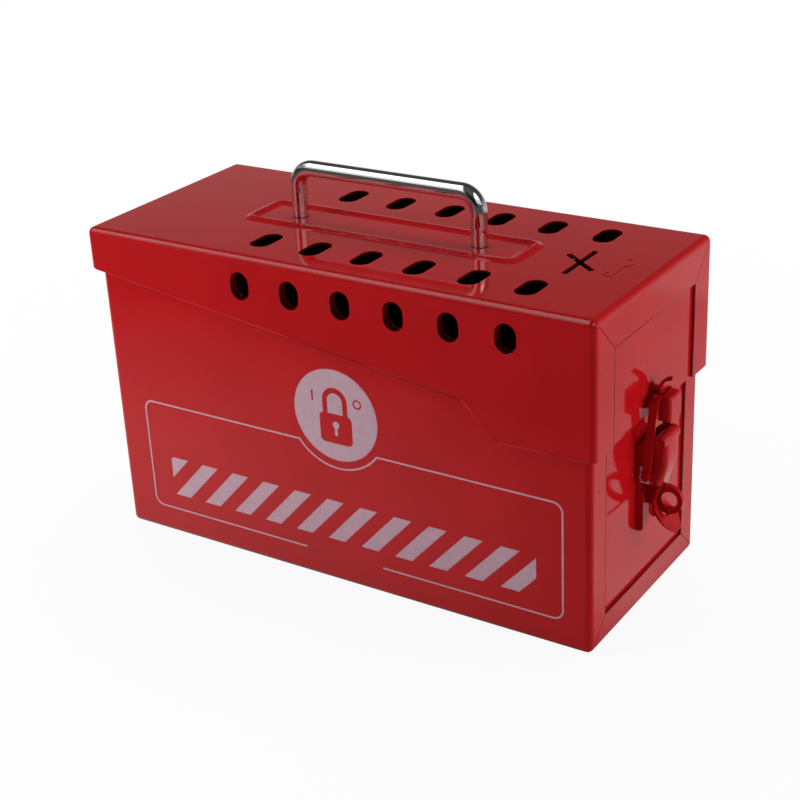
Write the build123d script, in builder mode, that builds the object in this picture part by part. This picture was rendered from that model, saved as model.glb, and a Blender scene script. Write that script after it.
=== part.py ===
from build123d import *
import os

os.makedirs("parts", exist_ok=True)

# A portable group lockout box of folded sheet steel, in millimetres with +Z up.
# X runs from the hinge end to the latch end and -Y is the front. The origin is the
# middle of the underside, where the box stands.

# Sheet steel and its folds
sheet = 1.2
fold_radius = 3.0           # outside of a fold
mitre_slit = 0.3            # seam where two folded flanges meet
dome = 0.7                  # share of a rivet head's height that is rounded over
panel_fit = 0.1             # from an end panel's edge to the fold beside it

# Body: a channel with end flanges
body_length = 253.4
body_depth = 105.2
body_height = 151.0
body_flange = 13.3

# Lid: a shallower channel that goes over the body
lid_end_gap = 2.1           # from the body's flange to the lid's flange
lid_side_gap = 2.4          # from the body's wall to the lid's skirt
lid_top_gap = 1.8
lid_flange = 17.0
skirt_drop_hinge = 19.4     # how far the skirt hangs down at the hinge end
skirt_drop_ramp = 45.3      # where its long slope ends
skirt_drop_latch = 61.0     # and at the latch end
ramp_from_end = 61.4        # from the latch end to the end of the long slope
step_from_end = 43.9        # from the latch end to the foot of the short slope

# Padlock slots
slot_count = 6
slot_pitch = 26.55
slot_row_x = 23.95          # middle of the rows
slot_width = 10.0
top_slot_length = 18.0
top_slot_y = 34.5
face_slot_length = 13.0
face_slot_drop = 14.3       # from the lid's top to the middle of a slot

# Crossed slot for dropping keys in
key_slot_inset = 35.2       # from the latch end
key_slot_length = 30.0
key_slot_width = 2.7
key_cross_length = 22.8
key_cross_angle = -37.5

# Raised frame pressed in the lid's top
rib_length = 146.0
rib_depth = 32.5
rib_width = 7.5
rib_height = 1.2
rib_corner = 4.0            # on the middle of the rib

# Handle, held by two screws from below
handle_bar = 7.4
handle_spacing = 95.0
handle_shift = -0.9         # of its middle, towards the hinge end
handle_height = 27.2
handle_bend = 8.3
screw_diameter = 5.0
screw_grip = 11.0           # length of thread inside a leg
screw_head_diameter = 9.2
screw_head_height = 3.0
screw_recess = 1.6
screw_recess_length = 5.0
screw_recess_width = 1.2
thread_fit = 0.1            # round the screw in its hole, on the radius
screw_hole_fit = 0.25
washer_diameter = 12.0
washer_thickness = 1.0

# Hinge
hinge_width = 60.0
hinge_drop = 22.8           # from the lid's top to the hinge line
knuckle_radius = 2.8
knuckle_gap = 0.3
leaf_thickness = 1.3
body_leaf_height = 23.2     # below the hinge line
lid_leaf_height = 18.8      # above the hinge line
leaf_corner = 3.0
pin_radius = 1.4
pin_fit = 0.1
pin_head_radius = 2.2
pin_head_height = 0.8
rivet_spacing = 40.0
rivet_radius = 2.0
rivet_fit = 0.05
rivet_head_radius = 3.6
rivet_head_height = 1.4
rivet_tail_radius = 3.0
rivet_tail_height = 0.7
body_rivet_rise = 8.0       # from the leaf's lower edge
lid_rivet_drop = 6.0        # from the leaf's upper edge

# Toggle latch, its lever hung on a pin in the base's ears
latch_sheet = 1.0
pivot_reach = 10.0          # from the body's end panel to the lever's pin
pivot_drop = 10.7           # from the lid panel's lower edge to the pin
base_half_width = 7.75
base_web = 1.5
base_top_gap = 14.0         # from the lid panel's lower edge
base_length = 40.5
base_cheek_length = 18.5    # of the low side flanges
base_cheek_reach = 3.5
base_corner = 2.0
ear_radius = 2.9
ear_shoulder = (-4.9, -1.4)  # rounded back of an ear, measured from the pin
ear_root = 9.0
lever_half_width = 6.1      # over the cheeks
lever_bend = 2.0            # between front and cheeks, on the middle of the sheet
roll_half_width = 6.6
roll_radius = 2.9
lever_pin_radius = 1.5
lever_pin_fit = 0.1
link_back = 5.4             # the draw arm's pivot, measured back and down from the pin
link_down = 16.6
lever_bow = (2.8, -12.0)    # bends of the lever's front sheet, measured from the pin
lever_knee = (-4.1, -31.5)
lever_tip = (6.5, -43.6)
bow_radius = 30.0
knee_radius = 6.0
cheek_foot = 20.0           # how far the lever's cheeks reach below the pin
neck_top_half_width = 3.0   # where it leaves the channel
neck_half_width = 5.3
neck_drop = 22.0            # below the pin
tongue_drop = 37.1          # middle of the rounded tongue
tongue_radius = 6.7
eye_slot_width = 4.6
eye_slot_top = 22.0
eye_slot_bottom = 37.4

# Padlock eye that stands out through the lever
eye_thickness = 2.0
eye_radius = 6.9
eye_centre = (1.7, -29.25)  # measured from the pin
eye_hole_radius = 3.75
eye_hole_shift = 0.9
eye_stem_height = 8.0

# Keeper on the lid's end panel: a strap, a foot turned up at its edge, and a curled beak
keeper_sheet = 1.2
keeper_half_width = 4.4
strap_top_rise = 10.6       # above the lid panel's lower edge, as the next rises are
foot_rise = 3.0             # middle of the foot
foot_reach = 7.3            # from the panel to the middle of the turned up edge
foot_edge_height = 1.6
keeper_bend = 1.2
beak_reach = 4.6            # from the panel to the beak's middle
beak_half_width = 3.4
beak_taper_rise = 12.5      # where it begins to narrow
beak_bend_rise = 15.6
beak_tip_rise = 17.0
beak_tip_reach = 9.2
beak_tip_half_width = 0.5
beak_bend = 3.5

# Draw arm: a bent strip with a claw that comes down round the keeper
arm_gap = 0.2               # from the base's cheek to a bar
latch_overrun = 4.4         # how far a cutting shape goes past what it cuts
bar_width = 3.4
bar_top_shift = 3.4         # how far a bar leans out between its pivot and its top
loop_bend = 3.0
claw_half_width = 5.8
claw_gap = 2.0              # from the keeper's turned up edge to the claw
claw_depth = 5.7
claw_height = 11.0
claw_bend = 1.5
lip_gap = 1.8               # from the keeper's strap to the claw's lip
lip_rise = 2.0              # from the keeper's foot to the edge of the lip
lip_height = 4.5
lip_half_width = 7.4
beak_slot_fit = 0.6         # beside the beak
beak_slot_front = 1.2       # in front of it
link_radius = 1.1
link_fit = 0.05
link_collar_radius = 1.7
link_head_radius = 1.9
link_head_height = 0.6
link_eye_radius = 1.9       # round end of each bar
link_lobe_radius = 2.5      # of the lever's cheek round the pivot

# Sizes that follow
lid_length = body_length + 2 * (lid_end_gap + sheet)
lid_depth = body_depth + 2 * (lid_side_gap + sheet)
lid_top = body_height + lid_top_gap + sheet
lid_under = lid_top - sheet
skirt_hinge_z = lid_top - skirt_drop_hinge
skirt_latch_z = lid_top - skirt_drop_latch
body_panel_x = body_length / 2 - sheet
lid_panel_x = lid_length / 2 - sheet
face_slot_z = lid_top - face_slot_drop
panel_margin = fold_radius + panel_fit
panel_depth = body_depth - 2 * panel_margin
lid_panel_depth = lid_depth - 2 * panel_margin
hinge_cut = 4 * knuckle_radius      # cuts that go past the knuckles

# Middle of the rib on each side of the frame, and the handle's feet inside it
rib_x = (rib_length - rib_width) / 2
rib_y = (rib_depth - rib_width) / 2
handle_left = handle_shift - handle_spacing / 2
handle_right = handle_shift + handle_spacing / 2
handle_feet = ((handle_left, 0), (handle_right, 0))

# The hinge line lies where the lid's leaf, flat on its flange, runs into the knuckles
hinge_x = -(lid_length / 2 + leaf_thickness - knuckle_radius)
hinge_z = lid_top - hinge_drop
knuckle_length = (hinge_width - 2 * knuckle_gap) / 3
body_rivet_z = hinge_z - body_leaf_height + body_rivet_rise
lid_rivet_z = hinge_z + lid_leaf_height - lid_rivet_drop


def flange_seams(half_depth, flange, edge_z, upward):
    """The 45 degree seams between the end flanges of a channel, seen along X."""
    reach = flange + mitre_slit
    middle = (reach + fold_radius) / 2
    length = (reach - fold_radius) * 2**0.5
    with BuildSketch(Plane.YZ) as seams:
        for side in (-1, 1):
            with Locations((side * (half_depth - middle), edge_z + upward * middle)):
                Rectangle(length, mitre_slit, rotation=-side * upward * 45)
    return seams.sketch


def face_slots():
    """The row of padlock slots in the front and back walls, seen along Y."""
    with BuildSketch(Plane.XZ) as slots:
        with Locations((slot_row_x, face_slot_z)):
            with GridLocations(slot_pitch, 0, slot_count, 1):
                SlotOverall(face_slot_length, slot_width, rotation=90)
    return slots.sketch


def rivet_pair(start_x, height, radius):
    """Circles for the two rivets of a hinge leaf, on the plane at an X."""
    with BuildSketch(Plane.YZ.offset(start_x)) as circles:
        with Locations((0, height)):
            with GridLocations(rivet_spacing, 0, 2, 1):
                Circle(radius)
    return circles.sketch


def rivet_holes(height):
    """Holes for them, from outside the hinge."""
    return rivet_pair(hinge_x - 2 * knuckle_radius, height, rivet_radius + rivet_fit)


# Body shell: floor, front and back walls, and the flanges folded in at both ends
with BuildPart() as body_shell:
    with BuildSketch():
        Rectangle(body_length, body_depth)
    extrude(amount=body_height)
    folds = body_shell.edges().filter_by(Axis.Z) + body_shell.faces().sort_by(Axis.Z)[0].edges()
    fillet(folds, fold_radius)
    offset(amount=-sheet, openings=body_shell.faces().sort_by(Axis.Z)[-1])
    with BuildSketch(Plane.YZ):
        with Locations((0, body_flange)):
            Rectangle(body_depth - 2 * body_flange, body_height, align=(Align.CENTER, Align.MIN))
    extrude(amount=body_length, both=True, mode=Mode.SUBTRACT)
    seams = flange_seams(body_depth / 2, body_flange, 0, 1)
    extrude(seams, amount=body_length, both=True, mode=Mode.SUBTRACT)
    extrude(face_slots(), amount=body_depth, both=True, mode=Mode.SUBTRACT)

# Lid shell: top, front and back skirts with the stepped edge, and folded end flanges
with BuildPart() as lid_shell:
    with BuildSketch(Plane.XY.offset(skirt_latch_z)):
        Rectangle(lid_length, lid_depth)
    extrude(amount=skirt_drop_latch)
    folds = lid_shell.edges().filter_by(Axis.Z) + lid_shell.faces().sort_by(Axis.Z)[-1].edges()
    fillet(folds, fold_radius)
    offset(amount=-sheet, openings=lid_shell.faces().sort_by(Axis.Z)[0])
    with BuildSketch(Plane.XZ):
        with BuildLine():
            Polyline(
                (-lid_length / 2, skirt_latch_z),
                (-lid_length / 2, skirt_hinge_z),
                (lid_length / 2 - ramp_from_end, lid_top - skirt_drop_ramp),
                (lid_length / 2 - step_from_end, skirt_latch_z),
                close=True,
            )
        make_face()
    extrude(amount=lid_depth, both=True, mode=Mode.SUBTRACT)
    with BuildSketch(Plane.YZ):
        with Locations((0, lid_top - lid_flange)):
            Rectangle(lid_depth - 2 * lid_flange, lid_top, align=(Align.CENTER, Align.MAX))
    extrude(amount=lid_length, both=True, mode=Mode.SUBTRACT)
    seams = flange_seams(lid_depth / 2, lid_flange, lid_top, -1)
    extrude(seams, amount=lid_length, both=True, mode=Mode.SUBTRACT)
    extrude(face_slots(), amount=lid_depth, both=True, mode=Mode.SUBTRACT)
    extrude(rivet_holes(lid_rivet_z), amount=body_depth / 2, mode=Mode.SUBTRACT)

    # the raised frame, and the groove that pressing it leaves beneath
    for base_z, mode in ((lid_top, Mode.ADD), (lid_under, Mode.SUBTRACT)):
        with BuildLine(Plane.XY.offset(base_z)) as rib_path:
            FilletPolyline(
                (-rib_x, 0),
                (-rib_x, rib_y),
                (rib_x, rib_y),
                (rib_x, -rib_y),
                (-rib_x, -rib_y),
                radius=[0, rib_corner, rib_corner, rib_corner, rib_corner],
                close=True,
            )
        with BuildSketch(Plane.XZ):
            with BuildLine():
                Spline(
                    (-rib_x - rib_width / 2, base_z),
                    (-rib_x, base_z + rib_height),
                    (-rib_x + rib_width / 2, base_z),
                    tangents=[(1, 0), (1, 0)],
                )
                Line((-rib_x + rib_width / 2, base_z), (-rib_x - rib_width / 2, base_z))
            make_face()
        sweep(path=rib_path.wires()[0], mode=mode)

    # slots in the top, and the holes for the handle's screws
    with BuildSketch(Plane.XY.offset(lid_top)):
        with Locations((slot_row_x, 0)):
            with GridLocations(slot_pitch, 2 * top_slot_y, slot_count, 2):
                SlotOverall(top_slot_length, slot_width, rotation=90)
        with Locations((lid_length / 2 - key_slot_inset, 0)):
            Rectangle(key_slot_width, key_slot_length)
            Rectangle(key_cross_length, key_slot_width, rotation=key_cross_angle)
        with Locations(*handle_feet):
            Circle(screw_diameter / 2 + screw_hole_fit)
    extrude(amount=-2 * sheet, mode=Mode.SUBTRACT)

# Handle: a round bar bent to two legs, drilled and tapped from below
with BuildPart() as handle:
    with BuildLine(Plane.XZ) as handle_path:
        FilletPolyline(
            (handle_left, lid_top),
            (handle_left, lid_top + handle_height - handle_bar / 2),
            (handle_right, lid_top + handle_height - handle_bar / 2),
            (handle_right, lid_top),
            radius=handle_bend,
        )
    with BuildSketch(Plane.XY.offset(lid_top)):
        with Locations(handle_feet[0]):
            Circle(handle_bar / 2)
    sweep(path=handle_path.wires()[0])
    with BuildSketch(Plane.XY.offset(lid_top)):
        with Locations(*handle_feet):
            Circle(screw_diameter / 2 + thread_fit)
    extrude(amount=screw_grip + 2 * thread_fit, mode=Mode.SUBTRACT)

# Washers between the lid's sheet and the screw heads
with BuildPart() as handle_washers:
    with BuildSketch(Plane.XY.offset(lid_under)):
        with Locations(*handle_feet):
            Circle(washer_diameter / 2)
            Circle(screw_diameter / 2 + screw_hole_fit, mode=Mode.SUBTRACT)
    extrude(amount=-washer_thickness)

# Screws with round heads and a crossed recess
with BuildPart() as handle_screws:
    with BuildSketch(Plane.XY.offset(lid_under - washer_thickness)):
        with Locations(*handle_feet):
            Circle(screw_head_diameter / 2)
    extrude(amount=-screw_head_height)
    fillet(handle_screws.faces().sort_by(Axis.Z)[:2].edges(), screw_head_height / 2)
    with BuildSketch(Plane.XY.offset(lid_under - washer_thickness)):
        with Locations(*handle_feet):
            Circle(screw_diameter / 2)
    extrude(amount=washer_thickness + sheet + screw_grip)
    with BuildSketch(Plane.XY.offset(lid_under - washer_thickness - screw_head_height)):
        with Locations(*handle_feet):
            Rectangle(screw_recess_length, screw_recess_width)
            Rectangle(screw_recess_width, screw_recess_length)
    extrude(amount=screw_recess, mode=Mode.SUBTRACT)


def end_panel(side, outer_face, depth, low, high, rivet_height=None):
    """A plate behind the flanges of one end, between the folds."""
    with BuildPart() as panel:
        with BuildSketch(Plane.YZ.offset(side * outer_face)):
            with Locations((0, low)):
                Rectangle(depth, high - low, align=(Align.CENTER, Align.MIN))
        extrude(amount=-side * sheet)
        if rivet_height:
            extrude(rivet_holes(rivet_height), amount=body_depth / 2, mode=Mode.SUBTRACT)
    return panel


# End panels behind the flanges: two in the body, two in the lid
lid_panel_top = lid_top - panel_margin
body_right_end = end_panel(1, body_panel_x, panel_depth, panel_margin, body_height)
body_left_end = end_panel(-1, body_panel_x, panel_depth, panel_margin, body_height, body_rivet_z)
lid_right_end = end_panel(1, lid_panel_x, lid_panel_depth, skirt_latch_z, lid_panel_top)
lid_left_end = end_panel(
    -1, lid_panel_x, lid_panel_depth, skirt_hinge_z, lid_panel_top, lid_rivet_z
)

# Hinge leaf on the body's end panel, with the two outer knuckles
with BuildPart() as hinge_body_leaf:
    with BuildSketch(Plane.YZ.offset(-body_panel_x)):
        with Locations((0, hinge_z)):
            Rectangle(hinge_width, body_leaf_height, align=(Align.CENTER, Align.MAX))
    extrude(amount=-leaf_thickness)
    fillet(hinge_body_leaf.edges().filter_by(Axis.X).group_by(Axis.Z)[0], leaf_corner)
    with BuildSketch(Plane.XZ):
        with Locations((hinge_x, hinge_z)):
            Circle(knuckle_radius)
    extrude(amount=hinge_width / 2, both=True)
    with Locations((hinge_x, 0, hinge_z - knuckle_radius - knuckle_gap)):
        Box(
            hinge_cut,
            knuckle_length + 2 * knuckle_gap,
            hinge_cut,
            align=(Align.CENTER, Align.CENTER, Align.MIN),
            mode=Mode.SUBTRACT,
        )
    with BuildSketch(Plane.XZ):
        with Locations((hinge_x, hinge_z)):
            Circle(pin_radius + pin_fit)
    extrude(amount=hinge_width, both=True, mode=Mode.SUBTRACT)
    extrude(rivet_holes(body_rivet_z), amount=body_depth / 2, mode=Mode.SUBTRACT)

# Hinge leaf on the lid's flange, with the middle knuckle
with BuildPart() as hinge_lid_leaf:
    with BuildSketch(Plane.YZ.offset(-lid_length / 2)):
        with Locations((0, hinge_z + lid_leaf_height)):
            Rectangle(
                hinge_width,
                lid_leaf_height - knuckle_radius - knuckle_gap,
                align=(Align.CENTER, Align.MAX),
            )
        with Locations((0, hinge_z)):
            Rectangle(knuckle_length, lid_leaf_height, align=(Align.CENTER, Align.MIN))
    extrude(amount=-leaf_thickness)
    fillet(hinge_lid_leaf.edges().filter_by(Axis.X).group_by(Axis.Z)[-1], leaf_corner)
    with BuildSketch(Plane.XZ):
        with Locations((hinge_x, hinge_z)):
            Circle(knuckle_radius)
    extrude(amount=knuckle_length / 2, both=True)
    with BuildSketch(Plane.XZ):
        with Locations((hinge_x, hinge_z)):
            Circle(pin_radius + pin_fit)
    extrude(amount=hinge_width, both=True, mode=Mode.SUBTRACT)
    extrude(rivet_holes(lid_rivet_z), amount=body_depth / 2, mode=Mode.SUBTRACT)

# Hinge pin, headed over the outer knuckles
with BuildPart() as hinge_pin:
    with BuildSketch(Plane.XZ):
        with Locations((hinge_x, hinge_z)):
            Circle(pin_radius)
    extrude(amount=hinge_width / 2 + pin_head_height, both=True)
    for head_y in (hinge_width / 2, -hinge_width / 2 - pin_head_height):
        with BuildSketch(Plane.XZ.offset(head_y)):
            with Locations((hinge_x, hinge_z)):
                Circle(pin_head_radius)
        extrude(amount=pin_head_height)
    fillet(hinge_pin.faces().sort_by(Axis.Y)[0].edges(), dome * pin_head_height)
    fillet(hinge_pin.faces().sort_by(Axis.Y)[-1].edges(), dome * pin_head_height)


def end_rivets(height, head_x, tail_x):
    """Two rivets along X, with domed heads outside and flat tails inside."""
    with BuildPart() as rivets:
        extrude(rivet_pair(head_x, height, rivet_head_radius), amount=-rivet_head_height)
        fillet(rivets.faces().sort_by(Axis.X)[:2].edges(), dome * rivet_head_height)
        extrude(rivet_pair(head_x, height, rivet_radius), amount=tail_x - head_x)
        extrude(rivet_pair(tail_x, height, rivet_tail_radius), amount=rivet_tail_height)
    return rivets


# Rivets through each leaf and the sheets behind it
hinge_body_rivets = end_rivets(
    body_rivet_z, -body_panel_x - leaf_thickness, -body_panel_x + sheet
)
hinge_lid_rivets = end_rivets(lid_rivet_z, -lid_length / 2 - leaf_thickness, -lid_panel_x + sheet)

# Latch places: the lever's pin and the draw arm's pivot, in X and Z
pivot_x = body_panel_x + pivot_reach
pivot_z = skirt_latch_z - pivot_drop
link_x = pivot_x - link_back
link_z = pivot_z - link_down
web_face_x = body_panel_x + base_web
base_top = skirt_latch_z - base_top_gap
base_low = base_top - base_length
ear_face_y = base_half_width - latch_sheet
latch_reach = pivot_reach + lever_tip[0] + latch_overrun


def both_sides(inner, thickness):
    """Planes along XZ to extrude by -thickness, for a wall on each side of the middle."""
    return (Plane.XZ.offset(inner + thickness), Plane.XZ.offset(-inner))


# Latch base: a channel on the body's end panel, with low cheeks and two ears
with BuildPart() as latch_base:
    with BuildSketch(Plane.XZ) as ear:
        with Locations((pivot_x, pivot_z)):
            Circle(ear_radius)
            with Locations(ear_shoulder):
                Circle(ear_radius)
        with Locations((body_panel_x, base_top)):
            Rectangle(base_web, ear_root, align=(Align.MIN, Align.MAX))
        make_hull(ear.edges())
        with Locations((body_panel_x, base_low)):
            Rectangle(base_web, base_length, align=(Align.MIN, Align.MIN))
        with BuildLine():
            FilletPolyline(
                (body_panel_x, base_low),
                (body_panel_x + base_cheek_reach, base_low),
                (body_panel_x + base_cheek_reach, base_low + base_cheek_length),
                (body_panel_x, base_low + base_cheek_length),
                radius=[0, base_corner, base_corner, 0],
                close=True,
            )
        make_face()
    extrude(amount=base_half_width, both=True)
    with Locations((web_face_x, 0, base_low)):
        Box(
            pivot_reach + ear_radius,
            2 * ear_face_y,
            pivot_z + ear_radius + latch_overrun - base_low,
            align=(Align.MIN, Align.CENTER, Align.MIN),
            mode=Mode.SUBTRACT,
        )
    with BuildSketch(Plane.XZ):
        with Locations((pivot_x, pivot_z)):
            Circle(lever_pin_radius)
    extrude(amount=base_half_width, both=True, mode=Mode.SUBTRACT)

# Padlock eye: a ring on a stem, standing out from the base
with BuildPart() as padlock_eye:
    with BuildSketch(Plane.XZ):
        with Locations((pivot_x + eye_centre[0], pivot_z + eye_centre[1])):
            Circle(eye_radius)
            Rectangle(
                pivot_x + eye_centre[0] - web_face_x,
                eye_stem_height,
                align=(Align.MAX, Align.CENTER),
            )
            with Locations((eye_hole_shift, 0)):
                Circle(eye_hole_radius, mode=Mode.SUBTRACT)
    extrude(amount=eye_thickness / 2, both=True)

# Lever pin, pressed in the ears
with BuildPart() as lever_pin:
    with BuildSketch(Plane.XZ):
        with Locations((pivot_x, pivot_z)):
            Circle(lever_pin_radius)
    extrude(amount=base_half_width, both=True)

# Lever's cheeks: a channel swept down the line of its front and cut to the cheeks' outline
lever_front_x = pivot_x + roll_radius - latch_sheet / 2
bow_point = (pivot_x + lever_bow[0], pivot_z + lever_bow[1])
knee_point = (pivot_x + lever_knee[0], pivot_z + lever_knee[1])
lever_side_y = lever_half_width - latch_sheet / 2
foot_share = (cheek_foot + lever_bow[1]) / (lever_bow[1] - lever_knee[1])
foot_x = bow_point[0] + foot_share * (knee_point[0] - bow_point[0])
with BuildPart() as lever_channel:
    with BuildLine(Plane.XZ) as channel_path:
        FilletPolyline((lever_front_x, pivot_z), bow_point, knee_point, radius=bow_radius)
    with BuildSketch(Plane.XY.offset(pivot_z)):
        with BuildLine():
            FilletPolyline(
                (link_x - latch_overrun, -lever_side_y),
                (lever_front_x, -lever_side_y),
                (lever_front_x, lever_side_y),
                (link_x - latch_overrun, lever_side_y),
                radius=lever_bend,
            )
        trace(line_width=latch_sheet)
    sweep(path=channel_path.wires()[0])
    with BuildSketch(Plane.XZ) as cheek:
        with Locations((pivot_x, pivot_z)):
            Circle(roll_radius)
        with Locations((link_x, link_z)):
            Circle(link_lobe_radius)
        with Locations(bow_point, (foot_x, pivot_z - cheek_foot)):
            Circle(latch_sheet)
        make_hull(cheek.edges())
    extrude(amount=lever_half_width, both=True, mode=Mode.INTERSECT)

# Lever: the channel, its sheet going on below as a rounded tongue, and the roll round the pin
with BuildPart() as latch_lever:
    with BuildSketch(Plane.XZ):
        with BuildLine():
            FilletPolyline(
                (lever_front_x, pivot_z),
                bow_point,
                knee_point,
                (pivot_x + lever_tip[0], pivot_z + lever_tip[1]),
                radius=[bow_radius, knee_radius],
            )
        trace(line_width=latch_sheet)
    extrude(amount=tongue_radius, both=True)
    with BuildSketch(Plane.YZ.offset(body_panel_x)):
        with BuildLine():
            Polyline(
                (-neck_top_half_width, pivot_z - cheek_foot),
                (-neck_half_width, pivot_z - neck_drop),
                (-neck_half_width, pivot_z - tongue_drop),
                (neck_half_width, pivot_z - tongue_drop),
                (neck_half_width, pivot_z - neck_drop),
                (neck_top_half_width, pivot_z - cheek_foot),
                close=True,
            )
        make_face()
        with Locations((0, pivot_z - tongue_drop)):
            Circle(tongue_radius)
    extrude(amount=latch_reach, mode=Mode.INTERSECT)
    add(lever_channel)
    with BuildSketch(Plane.XZ):
        with Locations((pivot_x, pivot_z)):
            Circle(roll_radius)
    extrude(amount=roll_half_width, both=True)
    with BuildSketch(Plane.XZ):
        with Locations((pivot_x, pivot_z)):
            Circle(lever_pin_radius + lever_pin_fit)
        with Locations((link_x, link_z)):
            Circle(link_radius + link_fit)
    extrude(amount=roll_half_width, both=True, mode=Mode.SUBTRACT)
    with BuildSketch(Plane.YZ.offset(body_panel_x)):
        with Locations((0, pivot_z - (eye_slot_top + eye_slot_bottom) / 2)):
            SlotOverall(eye_slot_bottom - eye_slot_top, eye_slot_width, rotation=90)
    extrude(amount=latch_reach, mode=Mode.SUBTRACT)

# Keeper: the beak is cut to its taper first, then the strap and its foot are added
foot_z = skirt_latch_z + foot_rise
strap_x = lid_panel_x + keeper_sheet / 2
beak_x = lid_panel_x + beak_reach
with BuildPart() as keeper:
    with BuildSketch(Plane.XZ):
        with BuildLine():
            FilletPolyline(
                (beak_x, foot_z),
                (beak_x, skirt_latch_z + beak_bend_rise),
                (lid_panel_x + beak_tip_reach, skirt_latch_z + beak_tip_rise),
                radius=beak_bend,
            )
        trace(line_width=keeper_sheet)
    extrude(amount=beak_half_width, both=True)
    with BuildSketch(Plane.YZ.offset(lid_panel_x)):
        with BuildLine():
            Polyline(
                (-beak_half_width, foot_z),
                (-beak_half_width, skirt_latch_z + beak_taper_rise),
                (-beak_tip_half_width, skirt_latch_z + beak_tip_rise + keeper_sheet),
                (beak_tip_half_width, skirt_latch_z + beak_tip_rise + keeper_sheet),
                (beak_half_width, skirt_latch_z + beak_taper_rise),
                (beak_half_width, foot_z),
                close=True,
            )
        make_face()
    extrude(amount=latch_reach, mode=Mode.INTERSECT)
    with BuildSketch(Plane.XZ):
        with BuildLine():
            FilletPolyline(
                (strap_x, skirt_latch_z + strap_top_rise),
                (strap_x, foot_z),
                (lid_panel_x + foot_reach, foot_z),
                (lid_panel_x + foot_reach, foot_z + foot_edge_height),
                radius=keeper_bend,
            )
        trace(line_width=keeper_sheet)
    extrude(amount=keeper_half_width, both=True)

# Draw arm: a strip bent to two bars and a bar across, with a hooded claw in front of it
bar_face_y = base_half_width + arm_gap
arm_half_width = bar_face_y + latch_sheet
bar_mid_y = bar_face_y + latch_sheet / 2
bar_top_x = link_x + bar_top_shift
lip_x = strap_x + keeper_sheet / 2 + lip_gap
lip_z = foot_z + keeper_sheet / 2 + lip_rise
arm_top = lip_z + lip_height
claw_x = lid_panel_x + foot_reach + keeper_sheet / 2 + claw_gap + latch_sheet
beak_slot_x = beak_x + keeper_sheet / 2 + beak_slot_front
with BuildPart() as claw:
    with BuildSketch(Plane.XY.offset(arm_top - claw_height)):
        with Locations((claw_x, 0)):
            Rectangle(claw_depth, 2 * claw_half_width, align=(Align.MAX, Align.CENTER))
    extrude(amount=claw_height)
    open_sides = ShapeList([claw.faces().sort_by(Axis.X)[0], claw.faces().sort_by(Axis.Z)[0]])
    fillet(claw.edges() - open_sides.edges(), claw_bend)
    offset(
        amount=-latch_sheet,
        openings=[claw.faces().sort_by(Axis.X)[0], claw.faces().sort_by(Axis.Z)[0]],
    )
with BuildPart() as draw_arm:
    with BuildSketch(Plane.YZ.offset(body_panel_x)):
        with BuildLine():
            FilletPolyline(
                (-bar_mid_y, link_z - latch_overrun),
                (-bar_mid_y, arm_top - latch_sheet / 2),
                (bar_mid_y, arm_top - latch_sheet / 2),
                (bar_mid_y, link_z - latch_overrun),
                radius=loop_bend,
            )
        trace(line_width=latch_sheet)
    extrude(amount=claw_x - body_panel_x)
    with BuildSketch(Plane.XZ) as bar:
        with Locations((link_x, link_z)):
            Circle(link_eye_radius)
        with Locations((bar_top_x, arm_top)):
            Rectangle(bar_width, loop_bend, align=(Align.CENTER, Align.MAX))
        make_hull(bar.edges())
    extrude(amount=arm_half_width, both=True, mode=Mode.INTERSECT)
    add(claw)
    with BuildSketch(Plane.XY.offset(arm_top)):
        with Locations((claw_x - claw_depth, 0)):
            Rectangle(
                claw_x - claw_depth - bar_top_x,
                2 * (claw_half_width - latch_sheet / 2),
                align=(Align.MAX, Align.CENTER),
            )
    extrude(amount=-latch_sheet)
    with BuildSketch(Plane.XY.offset(lip_z)):
        with Locations((lip_x, 0)):
            Rectangle(latch_sheet, 2 * lip_half_width, align=(Align.MIN, Align.CENTER))
    extrude(amount=lip_height)
    # the beak stands up through a slot behind the claw
    with BuildSketch(Plane.XY.offset(lip_z)):
        with Locations((beak_slot_x, 0)):
            Rectangle(
                beak_slot_x - lid_panel_x,
                2 * (beak_half_width + beak_slot_fit),
                align=(Align.MAX, Align.CENTER),
            )
    extrude(amount=lip_height, mode=Mode.SUBTRACT)
    with BuildSketch(Plane.XZ):
        with Locations((link_x, link_z)):
            Circle(link_radius + link_fit)
    extrude(amount=arm_half_width, both=True, mode=Mode.SUBTRACT)

# Stepped rivets that carry the draw arm on the lever's cheeks
cheek_inner = lever_half_width - latch_sheet
rivet_steps = (
    (cheek_inner - link_head_height, link_head_height, link_head_radius),
    (cheek_inner, latch_sheet, link_radius),
    (lever_half_width, bar_face_y - link_fit - lever_half_width, link_collar_radius),
    (bar_face_y - link_fit, latch_sheet + 2 * link_fit, link_radius),
    (arm_half_width + link_fit, link_head_height, link_head_radius),
)
with BuildPart() as arm_rivets:
    for start, length, radius in rivet_steps:
        for plane in both_sides(start, length):
            with BuildSketch(plane):
                with Locations((link_x, link_z)):
                    Circle(radius)
            extrude(amount=-length)

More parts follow.
